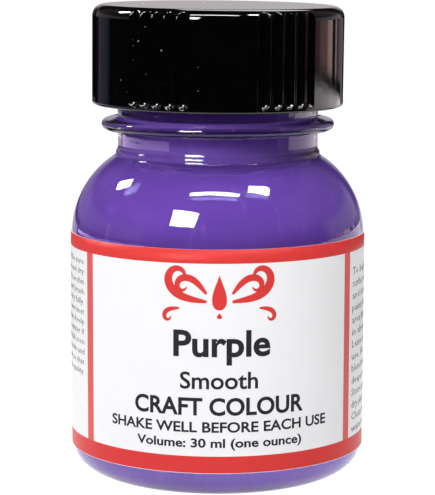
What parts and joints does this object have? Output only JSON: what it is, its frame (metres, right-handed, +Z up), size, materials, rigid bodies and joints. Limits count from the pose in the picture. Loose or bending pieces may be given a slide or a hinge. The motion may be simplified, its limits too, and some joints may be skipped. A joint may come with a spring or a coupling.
{
  "type": "paint jar",
  "caption": "Small round glass jar of violet craft paint with a wrap label and a black screw cap with grouped grip flutes over a foam liner.",
  "frame": {"origin": "centre of the flat circle that the jar rests on", "axes": "+Z up along the bottle's axis, -Y towards the front of the label, +X to the viewer's right"},
  "size_m": [0.0362, 0.0362, 0.0575],
  "materials": {
    "clear_glass": "glossy clear",
    "violet_paint": "wet liquid paint",
    "label_paper": "satin coated paper with red frames",
    "black_plastic": "glossy black",
    "white_foam": "matte white foam"
  },
  "bodies": {
    "jar": {"glass_bottle": "clear_glass", "paint": "violet_paint", "paper_label": "label_paper"},
    "liner": {"cap_liner": "white_foam"},
    "cap": {"screw_cap": "black_plastic"}
  },
  "joints": [
    {"name": "cap_lift", "type": "slide", "parent": "jar", "child": "liner", "axis": [0, 0, 1], "range_m": [0, 0.0175]},
    {"name": "cap_turn", "type": "hinge", "parent": "liner", "child": "cap", "pos_m": [0, 0, 0.0515], "axis": [0, 0, 1], "range_deg": [0, 1440]}
  ],
  "couplings": [
    {"joint": "cap_lift", "follows": "cap_turn", "m_per_rad": 0.00067375}
  ]
}
